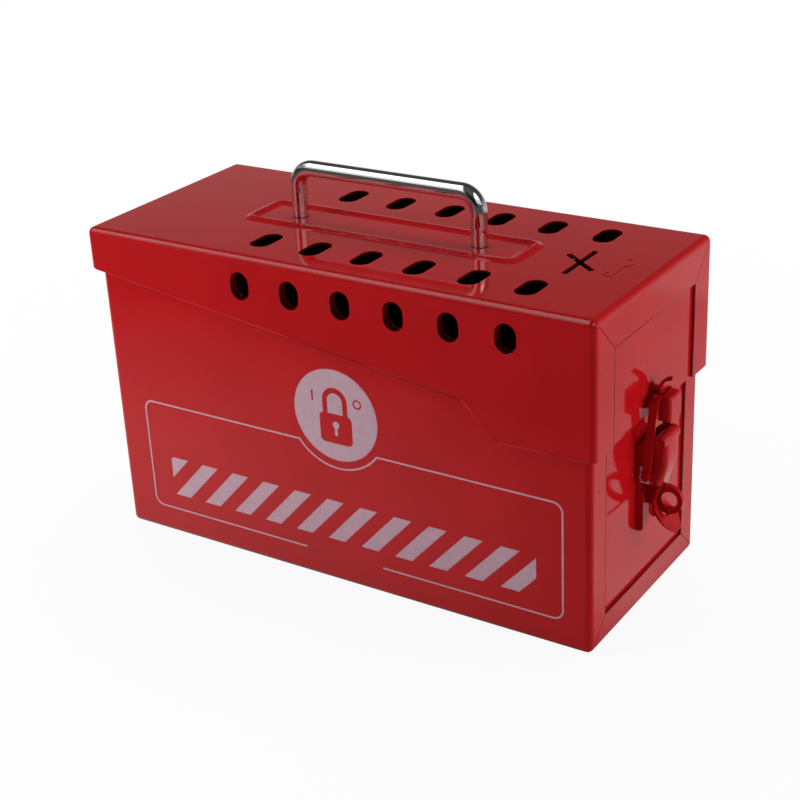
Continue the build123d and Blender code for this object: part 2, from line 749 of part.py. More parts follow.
for name, piece in (
    ("body_shell", body_shell),
    ("lid_shell", lid_shell),
    ("handle", handle),
    ("handle_washers", handle_washers),
    ("handle_screws", handle_screws),
    ("body_right_end", body_right_end),
    ("body_left_end", body_left_end),
    ("lid_right_end", lid_right_end),
    ("lid_left_end", lid_left_end),
    ("hinge_body_leaf", hinge_body_leaf),
    ("hinge_lid_leaf", hinge_lid_leaf),
    ("hinge_pin", hinge_pin),
    ("hinge_body_rivets", hinge_body_rivets),
    ("hinge_lid_rivets", hinge_lid_rivets),
    ("latch_base", latch_base),
    ("padlock_eye", padlock_eye),
    ("lever_pin", lever_pin),
    ("latch_lever", latch_lever),
    ("keeper", keeper),
    ("draw_arm", draw_arm),
    ("arm_rivets", arm_rivets),
):
    piece.part.label = name
    export_step(piece.part, f"parts/{name}.step")
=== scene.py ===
import math

import bpy
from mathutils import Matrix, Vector


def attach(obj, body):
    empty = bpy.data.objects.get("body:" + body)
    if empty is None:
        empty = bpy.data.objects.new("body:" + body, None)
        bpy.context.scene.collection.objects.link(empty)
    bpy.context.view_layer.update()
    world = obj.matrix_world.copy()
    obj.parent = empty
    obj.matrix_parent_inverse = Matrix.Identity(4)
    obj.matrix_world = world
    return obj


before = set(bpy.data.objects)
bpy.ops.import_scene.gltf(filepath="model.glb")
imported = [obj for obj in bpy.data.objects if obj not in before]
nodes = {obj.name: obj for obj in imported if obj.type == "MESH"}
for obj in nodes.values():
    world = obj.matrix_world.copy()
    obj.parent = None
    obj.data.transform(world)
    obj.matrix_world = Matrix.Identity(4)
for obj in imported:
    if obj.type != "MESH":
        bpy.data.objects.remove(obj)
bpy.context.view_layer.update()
mm = 0.001

# End panels and hinge leaves: cold rolled steel sheet, coated all over in glossy red enamel.
# The panels are spot welded behind the flanges and the leaves riveted on. The enamel has a
# faint orange peel, and the sheet is a little wavy, so that reflections bend slightly.
enamel_dark = (0.39, 0.0040, 0.0060, 1.0)
enamel_light = (0.43, 0.0055, 0.0080, 1.0)
enamel_shine = 0.45
noise_low = 0.3
noise_high = 0.7


def new_material(name):
    """A material with nodes; gives its tree and its surface shader."""
    material = bpy.data.materials.new(name)
    material.use_nodes = True
    return material, material.node_tree, material.node_tree.nodes["Principled BSDF"]


def add_noise(tree, waves, detail, stretch=(1.0, 1.0, 1.0)):
    """Noise on the object's coordinates, with so many waves to the metre."""
    place = tree.nodes.new("ShaderNodeTexCoord")
    mapping = tree.nodes.new("ShaderNodeMapping")
    mapping.inputs["Scale"].default_value = stretch
    noise = tree.nodes.new("ShaderNodeTexNoise")
    noise.inputs["Scale"].default_value = waves
    noise.inputs["Detail"].default_value = detail
    tree.links.new(place.outputs["Object"], mapping.inputs["Vector"])
    tree.links.new(mapping.outputs["Vector"], noise.inputs["Vector"])
    return noise.outputs["Fac"]


def add_fade(tree, socket, start, end, low=0.0, high=1.0):
    """Goes from low to high while a varying value goes from start to end."""
    fade = tree.nodes.new("ShaderNodeMapRange")
    fade.inputs["From Min"].default_value = start
    fade.inputs["From Max"].default_value = end
    fade.inputs["To Min"].default_value = low
    fade.inputs["To Max"].default_value = high
    tree.links.new(socket, fade.inputs["Value"])
    return fade.outputs["Result"]


def vary_colour(tree, shader, noise, dark, light):
    """The surface drifts between two colours with a noise."""
    ramp = tree.nodes.new("ShaderNodeValToRGB")
    ramp.color_ramp.elements[0].position = noise_low
    ramp.color_ramp.elements[0].color = dark
    ramp.color_ramp.elements[1].position = noise_high
    ramp.color_ramp.elements[1].color = light
    tree.links.new(noise, ramp.inputs["Fac"])
    tree.links.new(ramp.outputs["Color"], shader.inputs["Base Color"])


def vary_roughness(tree, shader, noise, low, high):
    """The surface's roughness drifts between two values with a noise."""
    roughness = add_fade(tree, noise, noise_low, noise_high, low, high)
    tree.links.new(roughness, shader.inputs["Roughness"])


def add_bump(tree, shader, noise, height):
    """Bump from a noise; a bump that is there already stays below it."""
    bump = tree.nodes.new("ShaderNodeBump")
    bump.inputs["Strength"].default_value = 1.0
    bump.inputs["Distance"].default_value = height
    tree.links.new(noise, bump.inputs["Height"])
    if shader.inputs["Normal"].links:
        tree.links.new(shader.inputs["Normal"].links[0].from_socket, bump.inputs["Normal"])
    tree.links.new(bump.outputs["Normal"], shader.inputs["Normal"])


def finish_node(name, material):
    """A CAD node gets its material."""
    nodes[name].data.materials.clear()
    nodes[name].data.materials.append(material)


enamel, tree, shader = new_material("red_enamel")
vary_colour(tree, shader, add_noise(tree, waves=22, detail=3), enamel_dark, enamel_light)
vary_roughness(tree, shader, add_noise(tree, waves=60, detail=4), low=0.05, high=0.09)
add_bump(tree, shader, add_noise(tree, waves=9, detail=1), height=0.10 * mm)
add_bump(tree, shader, add_noise(tree, waves=700, detail=1), height=0.002 * mm)
shader.inputs["Specular IOR Level"].default_value = enamel_shine
for name in (
    "body_right_end",
    "body_left_end",
    "lid_right_end",
    "lid_left_end",
    "hinge_body_leaf",
    "hinge_lid_leaf",
):
    finish_node(name, enamel)

# Shells of lid and body: folded from one sheet each, in the same enamel. The walls of the slots and
# the faces inside and below are painted much darker, as painted shade for the shade that falls into
# the slots and inside the box. They are told from the outer faces by their place.
inner_shade_colour = (0.07, 0.0015, 0.0020, 1.0)
limit_fade = 0.05 * mm
lid_wall_along = 127 * mm
lid_top_across = 50 * mm
lid_top_height = 153.7 * mm
lid_skirt_across = 55.9 * mm
lid_skirt_height = 150 * mm
body_wall_along = 123 * mm
body_wall_across = 52.4 * mm


def add_limit(tree, socket, limit):
    """1 below a limit in metres and 0 above it, with a short fade."""
    return add_fade(tree, socket, limit - limit_fade, limit + limit_fade, low=1.0, high=0.0)


def add_math(tree, operation, *sockets):
    """Varying values joined by an operation, one after another."""
    joined = sockets[0]
    for socket in sockets[1:]:
        node = tree.nodes.new("ShaderNodeMath")
        node.operation = operation
        tree.links.new(joined, node.inputs[0])
        tree.links.new(socket, node.inputs[1])
        joined = node.outputs["Value"]
    return joined


def add_axes(tree):
    """Distances from the middle along the box and across it, and the height."""
    place = tree.nodes.new("ShaderNodeTexCoord")
    folded = tree.nodes.new("ShaderNodeVectorMath")
    folded.operation = "ABSOLUTE"
    axes = tree.nodes.new("ShaderNodeSeparateXYZ")
    tree.links.new(place.outputs["Object"], folded.inputs[0])
    tree.links.new(folded.outputs["Vector"], axes.inputs["Vector"])
    return axes.outputs


def paint_inner_shade(tree, shade_mask):
    """The surface takes the colour of the painted shade where the mask is 1."""
    colour = tree.nodes["Principled BSDF"].inputs["Base Color"]
    tint = tree.nodes.new("ShaderNodeMixRGB")
    tint.inputs["Color2"].default_value = inner_shade_colour
    tree.links.new(shade_mask, tint.inputs["Fac"])
    tree.links.new(colour.links[0].from_socket, tint.inputs["Color1"])
    tree.links.new(tint.outputs["Color"], colour)


lid_enamel = enamel.copy()
lid_enamel.name = "lid_enamel"
tree = lid_enamel.node_tree
along, across, height = add_axes(tree)
below_top = add_math(
    tree,
    "MULTIPLY",
    add_limit(tree, across, lid_top_across),
    add_limit(tree, height, lid_top_height),
    add_limit(tree, along, lid_wall_along),
)
behind_skirts = add_math(
    tree,
    "MULTIPLY",
    add_limit(tree, across, lid_skirt_across),
    add_limit(tree, height, lid_skirt_height),
    add_limit(tree, along, lid_wall_along),
)
# Painted shade on the lid's inner faces and slot walls.
paint_inner_shade(tree, add_math(tree, "MAXIMUM", below_top, behind_skirts))
finish_node("lid_shell", lid_enamel)

body_enamel = enamel.copy()
body_enamel.name = "body_enamel"
tree = body_enamel.node_tree
along, across, height = add_axes(tree)
behind_walls = add_math(
    tree,
    "MULTIPLY",
    add_limit(tree, across, body_wall_across),
    add_limit(tree, along, body_wall_along),
)
# Painted shade on the body's inner faces and slot walls.
paint_inner_shade(tree, behind_walls)
finish_node("body_shell", body_enamel)

# Latch parts: pressed steel strip with tighter bends, hung in the coating line as a finished
# latch. The enamel lies thicker on them, so the peel is coarser and the gloss a little softer.
latch_enamel, tree, shader = new_material("latch_enamel")
vary_colour(tree, shader, add_noise(tree, waves=120, detail=3), enamel_dark, enamel_light)
vary_roughness(tree, shader, add_noise(tree, waves=200, detail=4), low=0.07, high=0.12)
add_bump(tree, shader, add_noise(tree, waves=450, detail=2), height=0.006 * mm)
shader.inputs["Specular IOR Level"].default_value = enamel_shine
for name in (
    "latch_base",
    "padlock_eye",
    "lever_pin",
    "latch_lever",
    "keeper",
    "draw_arm",
    "arm_rivets",
):
    finish_node(name, latch_enamel)

# Handle: round steel bar, bent cold, polished and chromed. The polishing leaves hair lines
# along the grip that only show as a slight spread in the reflections.
chrome_dark = (0.72, 0.71, 0.70, 1.0)
chrome_light = (0.78, 0.77, 0.76, 1.0)
hair_lines = (0.1, 1.0, 1.0)
long_hair_lines = (0.05, 1.0, 1.0)
chrome, tree, shader = new_material("polished_chrome")
shader.inputs["Metallic"].default_value = 1.0
vary_colour(tree, shader, add_noise(tree, waves=90, detail=2), chrome_dark, chrome_light)
hair_noise = add_noise(tree, waves=300, detail=3, stretch=hair_lines)
long_hair_noise = add_noise(tree, waves=900, detail=2, stretch=long_hair_lines)
vary_roughness(tree, shader, hair_noise, low=0.02, high=0.05)
add_bump(tree, shader, long_hair_noise, height=0.0008 * mm)
finish_node("handle", chrome)

# Feet of the handle: the legs are faced off and stand on the lid. A thin dark metal ring round each
# foot is painted shade for the dark line where the leg's end meets the lid. It shows as a thin line
# round the leg.
foot_shade_dark = (0.010, 0.006, 0.006, 1.0)
foot_shade_light = (0.03, 0.02, 0.02, 1.0)
lid_top = 154 * mm
handle_spacing = 95 * mm
handle_shift = -0.9 * mm
foot_radius = 3.76 * mm
foot_height = 0.25 * mm
foot_rounding = 0.05 * mm
rim_angle = math.radians(60)
foot_places = {
    "handle_foot_left": handle_shift - handle_spacing / 2,
    "handle_foot_right": handle_shift + handle_spacing / 2,
}


def round_rims(piece, width):
    """Rounds the sharp edges of a piece and leaves its round sides alone."""
    bpy.context.view_layer.objects.active = piece
    rounding = piece.modifiers.new("rounding", "BEVEL")
    rounding.width = width
    rounding.segments = 2
    rounding.angle_limit = rim_angle
    bpy.ops.object.modifier_apply(modifier=rounding.name)


def finish_piece(piece, name, material, body):
    """Names a new piece and gives it its material and the body it rides on."""
    piece.name = name
    piece.data.name = name
    piece.data.materials.clear()
    piece.data.materials.append(material)
    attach(piece, body)


# A dark ring of metal as painted shade round each foot.
foot_shade_material, tree, shader = new_material("painted_foot_shade")
shader.inputs["Metallic"].default_value = 1.0
vary_colour(tree, shader, add_noise(tree, waves=500, detail=3), foot_shade_dark, foot_shade_light)
vary_roughness(tree, shader, add_noise(tree, waves=800, detail=3), low=0.45, high=0.6)
add_bump(tree, shader, add_noise(tree, waves=1500, detail=2), height=0.004 * mm)
for name, foot_x in foot_places.items():
    bpy.ops.object.select_all(action="DESELECT")
    bpy.ops.mesh.primitive_cylinder_add(
        vertices=96,
        radius=foot_radius,
        depth=foot_height,
        location=(foot_x, 0, lid_top + foot_height / 2),
    )
    bpy.ops.object.transform_apply(location=True, rotation=True, scale=True)
    foot = bpy.context.object
    round_rims(foot, foot_rounding)
    finish_piece(foot, name, foot_shade_material, "lid")

# Screws, washers, rivets and the hinge's pin: turned and stamped steel with a bright zinc
# coat, duller than the handle and slightly blotched.
zinc_dark = (0.48, 0.49, 0.51, 1.0)
zinc_light = (0.66, 0.67, 0.69, 1.0)
zinc, tree, shader = new_material("bright_zinc")
shader.inputs["Metallic"].default_value = 1.0
vary_colour(tree, shader, add_noise(tree, waves=400, detail=4), zinc_dark, zinc_light)
vary_roughness(tree, shader, add_noise(tree, waves=800, detail=4), low=0.28, high=0.42)
add_bump(tree, shader, add_noise(tree, waves=1500, detail=3), height=0.003 * mm)
for name in (
    "handle_screws",
    "handle_washers",
    "hinge_pin",
    "hinge_body_rivets",
    "hinge_lid_rivets",
):
    finish_node(name, zinc)

# Print on the front: a thin white ink, screened on the enamel, which shows through and turns
# it pinkish. First comes a disc with a padlock, a bar mark and a ring mark left open in it.
ink_dark = (0.45, 0.285, 0.345, 1.0)
ink_light = (0.49, 0.315, 0.375, 1.0)
ink_depth = 0.06 * mm
cutter_depth = 2 * mm
deep_cutter = 2 * cutter_depth
front_y = -52.6 * mm
disc_x = 2 * mm
disc_z = 85.3 * mm
disc_radius = 22 * mm
lock_half_width = 8.6 * mm
lock_low = 71.5 * mm
lock_high = 86.0 * mm
lock_corner = 2.6 * mm
shackle_outer = 6.6 * mm
shackle_inner = 4.0 * mm
shackle_z = 92.0 * mm
shackle_in_lock = 3 * mm
keyhole_z = 80.6 * mm
keyhole_radius = 1.7 * mm
slit_half_width = 0.7 * mm
slit_low = 75.4 * mm
slit_corner = 0.4 * mm
bar_left = disc_x - 12.4 * mm
bar_right = disc_x - 11.4 * mm
bar_low = 90.5 * mm
bar_high = 95.5 * mm
bar_corner = 0.2 * mm
ring_x = disc_x + 11.9 * mm
ring_z = 93.0 * mm
ring_outer = 2.3 * mm
ring_inner = 1.5 * mm


def add_block(low_x, high_x, low_z, high_z, depth, corner=0.0):
    """An upright plate in the plane of the front, with rounded corners if asked."""
    bpy.ops.object.select_all(action="DESELECT")
    middle = ((low_x + high_x) / 2, front_y, (low_z + high_z) / 2)
    bpy.ops.mesh.primitive_cube_add(size=1, location=middle)
    plate = bpy.context.object
    plate.scale = (high_x - low_x, depth, high_z - low_z)
    bpy.ops.object.transform_apply(location=True, rotation=True, scale=True)
    if corner:
        bpy.ops.object.mode_set(mode="EDIT")
        bpy.ops.mesh.select_mode(type="EDGE")
        bpy.ops.mesh.select_all(action="DESELECT")
        bpy.ops.object.mode_set(mode="OBJECT")
        for edge in plate.data.edges:
            ends = [plate.data.vertices[i].co for i in edge.vertices]
            edge.select = abs(ends[0].y - ends[1].y) > depth / 2
        bpy.ops.object.mode_set(mode="EDIT")
        bpy.ops.mesh.bevel(offset=corner, segments=12, affect="EDGES")
        bpy.ops.object.mode_set(mode="OBJECT")
    return plate


def add_round(x, z, radius, depth):
    """A round plate in the plane of the front."""
    bpy.ops.object.select_all(action="DESELECT")
    bpy.ops.mesh.primitive_cylinder_add(
        vertices=128,
        radius=radius,
        depth=depth,
        location=(x, front_y, z),
        rotation=(math.pi / 2, 0, 0),
    )
    bpy.ops.object.transform_apply(location=True, rotation=True, scale=True)
    return bpy.context.object


def combine(piece, tool, operation):
    """Adds the tool to the piece, or takes it away, or keeps what both hold."""
    bpy.ops.object.select_all(action="DESELECT")
    bpy.context.view_layer.objects.active = piece
    piece.select_set(True)
    modifier = piece.modifiers.new("combine", "BOOLEAN")
    modifier.operation = operation
    modifier.solver = "EXACT"
    modifier.object = tool
    bpy.ops.object.modifier_apply(modifier=modifier.name)
    bpy.data.objects.remove(tool)


ink, tree, shader = new_material("white_ink")
vary_colour(tree, shader, add_noise(tree, waves=300, detail=3), ink_dark, ink_light)
vary_roughness(tree, shader, add_noise(tree, waves=900, detail=3), low=0.30, high=0.42)
add_bump(tree, shader, add_noise(tree, waves=1200, detail=2), height=0.004 * mm)

lock_left = disc_x - lock_half_width
lock_right = disc_x + lock_half_width
padlock = add_block(lock_left, lock_right, lock_low, lock_high, cutter_depth, lock_corner)
hoop = add_round(disc_x, shackle_z, shackle_outer, cutter_depth)
legs_low = lock_high - shackle_in_lock
legs = add_block(
    disc_x - shackle_outer, disc_x + shackle_outer, legs_low, shackle_z, cutter_depth
)
combine(hoop, legs, "UNION")
combine(hoop, add_round(disc_x, shackle_z, shackle_inner, deep_cutter), "DIFFERENCE")
inside = add_block(
    disc_x - shackle_inner, disc_x + shackle_inner, lock_high, shackle_z, deep_cutter
)
combine(hoop, inside, "DIFFERENCE")
combine(padlock, hoop, "UNION")
combine(padlock, add_round(disc_x, keyhole_z, keyhole_radius, deep_cutter), "DIFFERENCE")
slit_left = disc_x - slit_half_width
slit_right = disc_x + slit_half_width
slit = add_block(slit_left, slit_right, slit_low, keyhole_z, deep_cutter, slit_corner)
combine(padlock, slit, "DIFFERENCE")
disc = add_round(disc_x, disc_z, disc_radius, ink_depth)
combine(disc, padlock, "DIFFERENCE")
bar_mark = add_block(bar_left, bar_right, bar_low, bar_high, cutter_depth, bar_corner)
combine(disc, bar_mark, "DIFFERENCE")
ring_mark = add_round(ring_x, ring_z, ring_outer, cutter_depth)
combine(ring_mark, add_round(ring_x, ring_z, ring_inner, deep_cutter), "DIFFERENCE")
combine(disc, ring_mark, "DIFFERENCE")
finish_piece(disc, "print_padlock_disc", ink, "body")

# Printed frame: a thin line in the same ink with rounded corners, which dips round the disc
# and is open for a stretch at the bottom.
frame_left = -110 * mm
frame_right = 114 * mm
frame_low = 13.5 * mm
frame_high = 70 * mm
frame_line = 0.8 * mm
frame_corner = 5 * mm
dip_radius = 25.6 * mm
gap_left = -19 * mm
gap_right = 23 * mm
gap_low = frame_low - frame_line
gap_high = frame_low + 2 * frame_line
outline = add_block(frame_left, frame_right, frame_low, frame_high, ink_depth, frame_corner)
combine(outline, add_round(disc_x, disc_z, dip_radius, cutter_depth), "DIFFERENCE")
field = add_block(
    frame_left + frame_line,
    frame_right - frame_line,
    frame_low + frame_line,
    frame_high - frame_line,
    cutter_depth,
    frame_corner - frame_line,
)
combine(field, add_round(disc_x, disc_z, dip_radius + frame_line, deep_cutter), "DIFFERENCE")
combine(outline, field, "DIFFERENCE")
gap = add_block(gap_left, gap_right, gap_low, gap_high, cutter_depth)
combine(outline, gap, "DIFFERENCE")
finish_piece(outline, "print_frame", ink, "body")

# Printed stripes: a band of plain slanting stripes in the same ink, cut off at both ends by
# the band's own outline.
band_left = -97 * mm
band_right = 101 * mm
band_low = 22 * mm
band_high = 42 * mm
band_corner = 1.5 * mm
band_margin = 0.8 * mm
stripe_lean = band_high - band_low
stripe_width = 9 * mm
stripe_pitch = 18 * mm
stripe_count = 14
stripes_before_band = 3
stripe_left = band_left - stripes_before_band * stripe_pitch
stripe_right = stripe_left + stripe_width
stripe_low = band_low - band_margin
stripe_high = band_high + band_margin
stripes = add_block(stripe_left, stripe_right, stripe_low, stripe_high, ink_depth)
bpy.ops.object.mode_set(mode="EDIT")
bpy.ops.mesh.select_mode(type="VERT")
bpy.ops.mesh.select_all(action="DESELECT")
bpy.ops.object.mode_set(mode="OBJECT")
for vertex in stripes.data.vertices:
    vertex.select = vertex.co.z > band_high
bpy.ops.object.mode_set(mode="EDIT")
bpy.ops.transform.translate(value=(stripe_lean, 0, 0))
bpy.ops.object.mode_set(mode="OBJECT")
repeat = stripes.modifiers.new("repeat", "ARRAY")
repeat.use_relative_offset = False
repeat.use_constant_offset = True
repeat.constant_offset_displace = (stripe_pitch, 0, 0)
repeat.count = stripe_count
bpy.ops.object.modifier_apply(modifier=repeat.name)
band = add_block(band_left, band_right, band_low, band_high, cutter_depth, band_corner)
combine(stripes, band, "INTERSECT")
finish_piece(stripes, "print_stripes", ink, "body")

# Key sign beside the crossed slot: a plain key pressed up in the lid's sheet before it was
# coated, 0.3 mm high, with sloping edges.
sign_height = 0.3 * mm
slope_width = 0.22 * mm
bow_x = 112.5 * mm
bow_y = 8.0 * mm
bow_half_width = 3.6 * mm
bow_half_length = 5.0 * mm
eye_y = bow_y + 2.4 * mm
eye_radius = 1.2 * mm
shank_half_width = 1.3 * mm
shank_end = -10 * mm
tooth_reach = 3.0 * mm
tooth_width = 1.4 * mm
tooth_places = (-9.2 * mm, -6.4 * mm)


def add_plate(low_x, high_x, low_y, high_y):
    """A flat plate that stands out of the lid's top by the height of the sign."""
    bpy.ops.object.select_all(action="DESELECT")
    middle = ((low_x + high_x) / 2, (low_y + high_y) / 2, lid_top)
    bpy.ops.mesh.primitive_cube_add(size=1, location=middle)
    bpy.context.object.scale = (high_x - low_x, high_y - low_y, 2 * sign_height)
    bpy.ops.object.transform_apply(location=True, rotation=True, scale=True)
    return bpy.context.object


def add_knob(x, y, radius_x, radius_y, height):
    """A round or oval plate on the lid's top."""
    bpy.ops.object.select_all(action="DESELECT")
    bpy.ops.mesh.primitive_cylinder_add(vertices=64, radius=1, depth=1, location=(x, y, lid_top))
    bpy.context.object.scale = (radius_x, radius_y, 2 * height)
    bpy.ops.object.transform_apply(location=True, rotation=True, scale=True)
    return bpy.context.object


key_sign = add_knob(bow_x, bow_y, bow_half_width, bow_half_length, sign_height)
shank = add_plate(bow_x - shank_half_width, bow_x + shank_half_width, shank_end, bow_y)
combine(key_sign, shank, "UNION")
for tooth_y in tooth_places:
    tooth = add_plate(bow_x - tooth_reach, bow_x, tooth_y, tooth_y + tooth_width)
    combine(key_sign, tooth, "UNION")
eye = add_knob(bow_x, eye_y, eye_radius, eye_radius, 2 * sign_height)
combine(key_sign, eye, "DIFFERENCE")
round_rims(key_sign, slope_width)
finish_piece(key_sign, "key_sign", enamel, "lid")

# Spot welds: the electrodes that joined flange and end panel left a few low, narrow marks,
# which the enamel covers. They lie where a weld gun reaches, not in a strict row.
mark_half_width = 0.5 * mm
mark_half_height = 1.2 * mm
mark_depth = 0.12 * mm
lid_face_x = 130 * mm
lid_panel_x = 128.8 * mm
body_face_x = 126.7 * mm
lid_marks = (
    (lid_face_x, -46.1 * mm, 130.6 * mm),
    (lid_face_x, -40.6 * mm, 139.5 * mm),
    (lid_face_x, 46.1 * mm, 130.6 * mm),
    (lid_panel_x, -5.0 * mm, 118.0 * mm),
    (lid_panel_x, 16.4 * mm, 123.4 * mm),
    (-lid_face_x, -46.1 * mm, 141 * mm),
    (-lid_face_x, 46.1 * mm, 141 * mm),
)
body_marks = (
    (-45.6 * mm, 75.1 * mm),
    (45.6 * mm, 75.1 * mm),
    (-45.6 * mm, 32 * mm),
    (45.6 * mm, 32 * mm),
)


def add_mark(name, place, body):
    """A low oval mark, half sunk in an end face."""
    bpy.ops.object.select_all(action="DESELECT")
    bpy.ops.mesh.primitive_uv_sphere_add(segments=16, ring_count=8, radius=1, location=place)
    mark = bpy.context.object
    mark.scale = (mark_depth, mark_half_width, mark_half_height)
    bpy.ops.object.transform_apply(location=True, rotation=True, scale=True)
    bpy.ops.object.shade_smooth()
    finish_piece(mark, name, enamel, body)


for number, place in enumerate(lid_marks, start=1):
    add_mark(f"lid_weld_{number}", place, "lid")
for number, (mark_y, mark_z) in enumerate(body_marks, start=1):
    add_mark(f"body_weld_right_{number}", (body_face_x, mark_y, mark_z), "body")
    add_mark(f"body_weld_left_{number}", (-body_face_x, mark_y, mark_z), "body")

# Beads: the enamel draws up to a thin round bead along the sheared edges of the skirts and of the
# right end's flanges, which shows as a fine line. The bead on the flanges lies in the step down to
# the end panel and is painted dark, as painted shade for the shade in that step.
step_shade_dark = (0.15, 0.0020, 0.0030, 1.0)
step_shade_light = (0.18, 0.0025, 0.0035, 1.0)
bead_radius = 0.28 * mm
bead_rise = 0.12 * mm
bead_sink = bead_radius - bead_rise
skirt_face_y = 56.2 * mm
lid_bead_x = lid_face_x - bead_sink
body_bead_x = body_face_x - bead_sink
skirt_bead_y = skirt_face_y - bead_sink
lid_window_half = 39.2 * mm
lid_window_low = 93.2 * mm
lid_window_high = 137.0 * mm
body_window_half = 39.3 * mm
body_window_low = 13.3 * mm
body_window_high = 150.8 * mm
lid_window = (
    (lid_bead_x, -lid_window_half, lid_window_low),
    (lid_bead_x, -lid_window_half, lid_window_high),
    (lid_bead_x, lid_window_half, lid_window_high),
    (lid_bead_x, lid_window_half, lid_window_low),
)
body_window = (
    (body_bead_x, -body_window_half, body_window_high),
    (body_bead_x, -body_window_half, body_window_low),
    (body_bead_x, body_window_half, body_window_low),
    (body_bead_x, body_window_half, body_window_high),
)
skirt_edge = (
    (-127.0 * mm, 134.2 * mm),
    (68.6 * mm, 108.7 * mm),
    (86.1 * mm, 93.0 * mm),
    (127.0 * mm, 93.0 * mm),
)


def add_bead(name, points, material, body):
    """A round bead along a line of points, as one mesh."""
    strips = []
    for start, end in zip(points, points[1:]):
        start = Vector(start)
        end = Vector(end)
        bpy.ops.object.select_all(action="DESELECT")
        bpy.ops.mesh.primitive_cylinder_add(
            vertices=16,
            radius=bead_radius,
            depth=(end - start).length,
            location=(start + end) / 2,
            rotation=(end - start).to_track_quat("Z", "Y").to_euler(),
        )
        bpy.ops.object.transform_apply(location=True, rotation=True, scale=True)
        bpy.ops.object.shade_smooth()
        strips.append(bpy.context.object)
    for strip in strips:
        strip.select_set(True)
    bpy.context.view_layer.objects.active = strips[0]
    bpy.ops.object.join()
    bead = bpy.context.object
    finish_piece(bead, name, material, body)


# The flange beads are painted dark, as painted shade for the step they lie in.
step_shade_enamel = enamel.copy()
step_shade_enamel.name = "step_shade_enamel"
step_shade_colour = step_shade_enamel.node_tree.nodes["Principled BSDF"].inputs["Base Color"]
step_shade_ramp = step_shade_colour.links[0].from_node.color_ramp
step_shade_ramp.elements[0].color = step_shade_dark
step_shade_ramp.elements[1].color = step_shade_light
add_bead("lid_bead", lid_window, step_shade_enamel, "lid")
add_bead("body_bead", body_window, step_shade_enamel, "body")
add_bead("skirt_bead_front", [(x, -skirt_bead_y, z) for x, z in skirt_edge], enamel, "lid")
add_bead("skirt_bead_back", [(x, skirt_bead_y, z) for x, z in skirt_edge], enamel, "lid")

# Table: white, and it runs out of sight. For the camera it glows so that it comes out white, a
# little more so away from the box, and it keeps the box's shadow. Enamel and chrome mirror another
# picture of it, a glowing picture that is painted light for their reflections: pale on the left of
# the box, on its right and far behind it.
white = (1.0, 1.0, 1.0, 1.0)
table_colour = (0.93, 0.93, 0.93, 1.0)
table_roughness = 0.8
table_shine = 0.1
table_size = 12
near_glow = 0.92
far_glow = 0.999
near_reach = 0.25
far_reach = 0.55
patch_shift = (0.15, 0.05, 0.0)
patch_squeeze = (0.6, 1.0, 1.0)
patch_inner = 0.08
patch_outer = 0.25
patch_bright = 0.62
patch_dim = 0.08
right_steps = ((0.0, 0.0), (0.125, 0.0), (0.13, 0.42), (0.18, 0.40), (0.25, 0.27), (1.0, 0.20))
right_side_start = -0.05
right_side_full = 0.0
back_start = 0.30
back_full = 0.36
back_bright = 0.45


def add_length(tree, vector):
    """The length of a vector."""
    length = tree.nodes.new("ShaderNodeVectorMath")
    length.operation = "LENGTH"
    tree.links.new(vector, length.inputs[0])
    return length.outputs["Value"]


def add_steps(tree, socket, steps):
    """Greys at given places of a varying value, with an even blend between them."""
    ramp = tree.nodes.new("ShaderNodeValToRGB")
    elements = ramp.color_ramp.elements
    while len(elements) < len(steps):
        elements.new(0.5)
    for element, (position, grey) in zip(elements, steps):
        element.position = position
        element.color = (grey, grey, grey, 1.0)
    tree.links.new(socket, ramp.inputs["Fac"])
    return ramp.outputs["Color"]


def choose(tree, mask, usual, chosen):
    """The chosen shader where the mask is 1, and the usual one where it is 0."""
    mix = tree.nodes.new("ShaderNodeMixShader")
    tree.links.new(mask, mix.inputs["Fac"])
    tree.links.new(usual, mix.inputs[1])
    tree.links.new(chosen, mix.inputs[2])
    return mix.outputs["Shader"]


bpy.ops.object.select_all(action="DESELECT")
bpy.ops.mesh.primitive_plane_add(size=table_size, location=(0, 0, 0))
table_top = bpy.context.object
table_top.name = "table_top"
table_white, tree, shader = new_material("table_white")
shader.inputs["Base Color"].default_value = table_colour
shader.inputs["Roughness"].default_value = table_roughness
shader.inputs["Specular IOR Level"].default_value = table_shine
table_place = tree.nodes.new("ShaderNodeTexCoord").outputs["Object"]
table_rays = tree.nodes.new("ShaderNodeLightPath").outputs
glow = tree.nodes.new("ShaderNodeEmission")
glow.inputs["Color"].default_value = white
glow_share = add_fade(
    tree, add_length(tree, table_place), near_reach, far_reach, near_glow, far_glow
)
seen = add_math(tree, "MULTIPLY", table_rays["Is Camera Ray"], glow_share)
plain_table = choose(tree, seen, shader.outputs["BSDF"], glow.outputs["Emission"])

patch_map = tree.nodes.new("ShaderNodeMapping")
patch_map.inputs["Location"].default_value = patch_shift
patch_map.inputs["Scale"].default_value = patch_squeeze
tree.links.new(table_place, patch_map.inputs["Vector"])
patch_distance = add_length(tree, patch_map.outputs["Vector"])
patch = add_fade(tree, patch_distance, patch_inner, patch_outer, patch_bright, patch_dim)
table_axes = tree.nodes.new("ShaderNodeSeparateXYZ")
tree.links.new(table_place, table_axes.inputs["Vector"])
right_side = add_math(
    tree,
    "MULTIPLY",
    add_steps(tree, table_axes.outputs["X"], right_steps),
    add_fade(tree, table_axes.outputs["Y"], right_side_start, right_side_full),
)
back_side = add_fade(tree, table_axes.outputs["Y"], back_start, back_full, high=back_bright)
sides = add_math(tree, "MAXIMUM", right_side, back_side)
table_picture = tree.nodes.new("ShaderNodeEmission")
tree.links.new(add_math(tree, "ADD", patch, sides), table_picture.inputs["Strength"])
